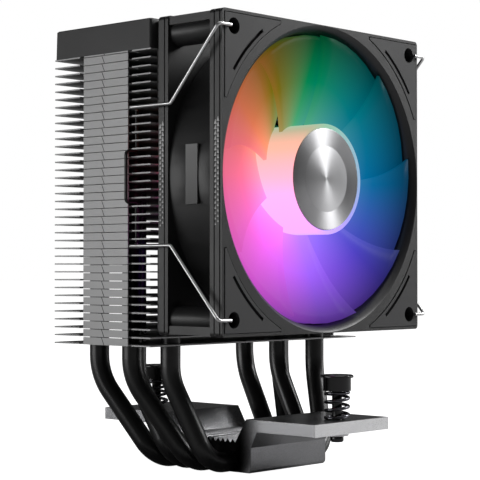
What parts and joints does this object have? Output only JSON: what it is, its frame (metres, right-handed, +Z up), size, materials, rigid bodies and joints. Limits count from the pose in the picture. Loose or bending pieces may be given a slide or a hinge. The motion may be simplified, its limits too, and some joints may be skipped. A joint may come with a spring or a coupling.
{
  "type": "tower cpu cooler",
  "caption": "Tower cooler for a computer processor: heat pipes carry a finned stack above a milled base, with a lit fan held on the front by wire clips.",
  "frame": {"origin": "middle of the base's contact face, where it meets the processor", "axes": "+Z up the tower away from the processor, -Y out of the front of the fan, +X to the right seen from the fan's side"},
  "size_m": [0.1002, 0.0878, 0.1336],
  "materials": {
    "base_metal": "black nickel plated and milled",
    "pipe_black": "gloss black",
    "fin_grey": "satin dark grey, bright cut edges",
    "cover_plastic": "fine matt grain",
    "frame_plastic": "fine matt grain",
    "pad_rubber": "matt",
    "blade_frosted": "frosted translucent",
    "cap_metal": "spun in circles",
    "yoke_steel": "drawn",
    "magnet": "matt, bonded ferrite",
    "steel_bright": "ground",
    "bearing_bronze": "sintered",
    "core_steel": "stacked sheet",
    "insulator": "moulded",
    "copper_wire": "enamelled copper wire",
    "board_green": "solder mask",
    "led_white": "clear over white",
    "label_dark": "plain satin film",
    "clip_wire": "bright spring wire",
    "screw_black": "black oxide",
    "spring_black": "black oxide"
  },
  "bodies": {
    "cooler": {"base_block": "base_metal", "heat_pipe_1": "pipe_black", "heat_pipe_2": "pipe_black", "heat_pipe_3": "pipe_black", "heat_pipe_4": "pipe_black", "fins": "fin_grey", "top_cover": "cover_plastic", "fan_frame": "frame_plastic", "front_pad_1": "pad_rubber", "front_pad_2": "pad_rubber", "front_pad_3": "pad_rubber", "front_pad_4": "pad_rubber", "rear_pad_1": "pad_rubber", "rear_pad_2": "pad_rubber", "rear_pad_3": "pad_rubber", "rear_pad_4": "pad_rubber", "bearing_sleeve": "bearing_bronze", "stator_core": "core_steel", "stator_insulator": "insulator", "stator_coils": "copper_wire", "motor_board": "board_green", "leds": "led_white", "motor_label": "label_dark", "spring_front": "spring_black", "spring_rear": "spring_black"},
    "rotor": {"impeller": "blade_frosted", "hub_cap": "cap_metal", "rotor_yoke": "yoke_steel", "magnet_ring": "magnet", "shaft": "steel_bright", "shaft_clip": "steel_bright"},
    "left_clip": {"clip_left": "clip_wire"},
    "right_clip": {"clip_right": "clip_wire"},
    "front_screw_slider": {"retaining_ring_front": "steel_bright"},
    "front_screw": {"screw_front": "screw_black"},
    "rear_screw_slider": {"retaining_ring_rear": "steel_bright"},
    "rear_screw": {"screw_rear": "screw_black"}
  },
  "joints": [
    {"name": "fan_spin", "type": "hinge", "parent": "cooler", "child": "rotor", "pos_m": [0, -0.0217, 0.08755], "axis": [0, -1, 0], "continuous": true},
    {"name": "left_clip_swing", "type": "hinge", "parent": "cooler", "child": "left_clip", "pos_m": [-0.0453, 0.0006, 0.08755], "axis": [0, 0, -1], "range_deg": [0, 8], "stiffness_Nm_per_rad": 0.5},
    {"name": "right_clip_swing", "type": "hinge", "parent": "cooler", "child": "right_clip", "pos_m": [0.0453, 0.0006, 0.08755], "axis": [0, 0, 1], "range_deg": [0, 8], "stiffness_Nm_per_rad": 0.5},
    {"name": "front_screw_press", "type": "slide", "parent": "cooler", "child": "front_screw_slider", "axis": [0, 0, -1], "range_m": [0, 0.0035], "stiffness_N_per_m": 4000, "springref_m": -0.001, "deforming": ["spring_front"]},
    {"name": "front_screw_turn", "type": "hinge", "parent": "front_screw_slider", "child": "front_screw", "pos_m": [0, -0.038, 0.0246], "axis": [0, 0, 1], "continuous": true},
    {"name": "rear_screw_press", "type": "slide", "parent": "cooler", "child": "rear_screw_slider", "axis": [0, 0, -1], "range_m": [0, 0.0035], "stiffness_N_per_m": 4000, "springref_m": -0.001, "deforming": ["spring_rear"]},
    {"name": "rear_screw_turn", "type": "hinge", "parent": "rear_screw_slider", "child": "rear_screw", "pos_m": [0, 0.038, 0.0246], "axis": [0, 0, 1], "continuous": true}
  ]
}
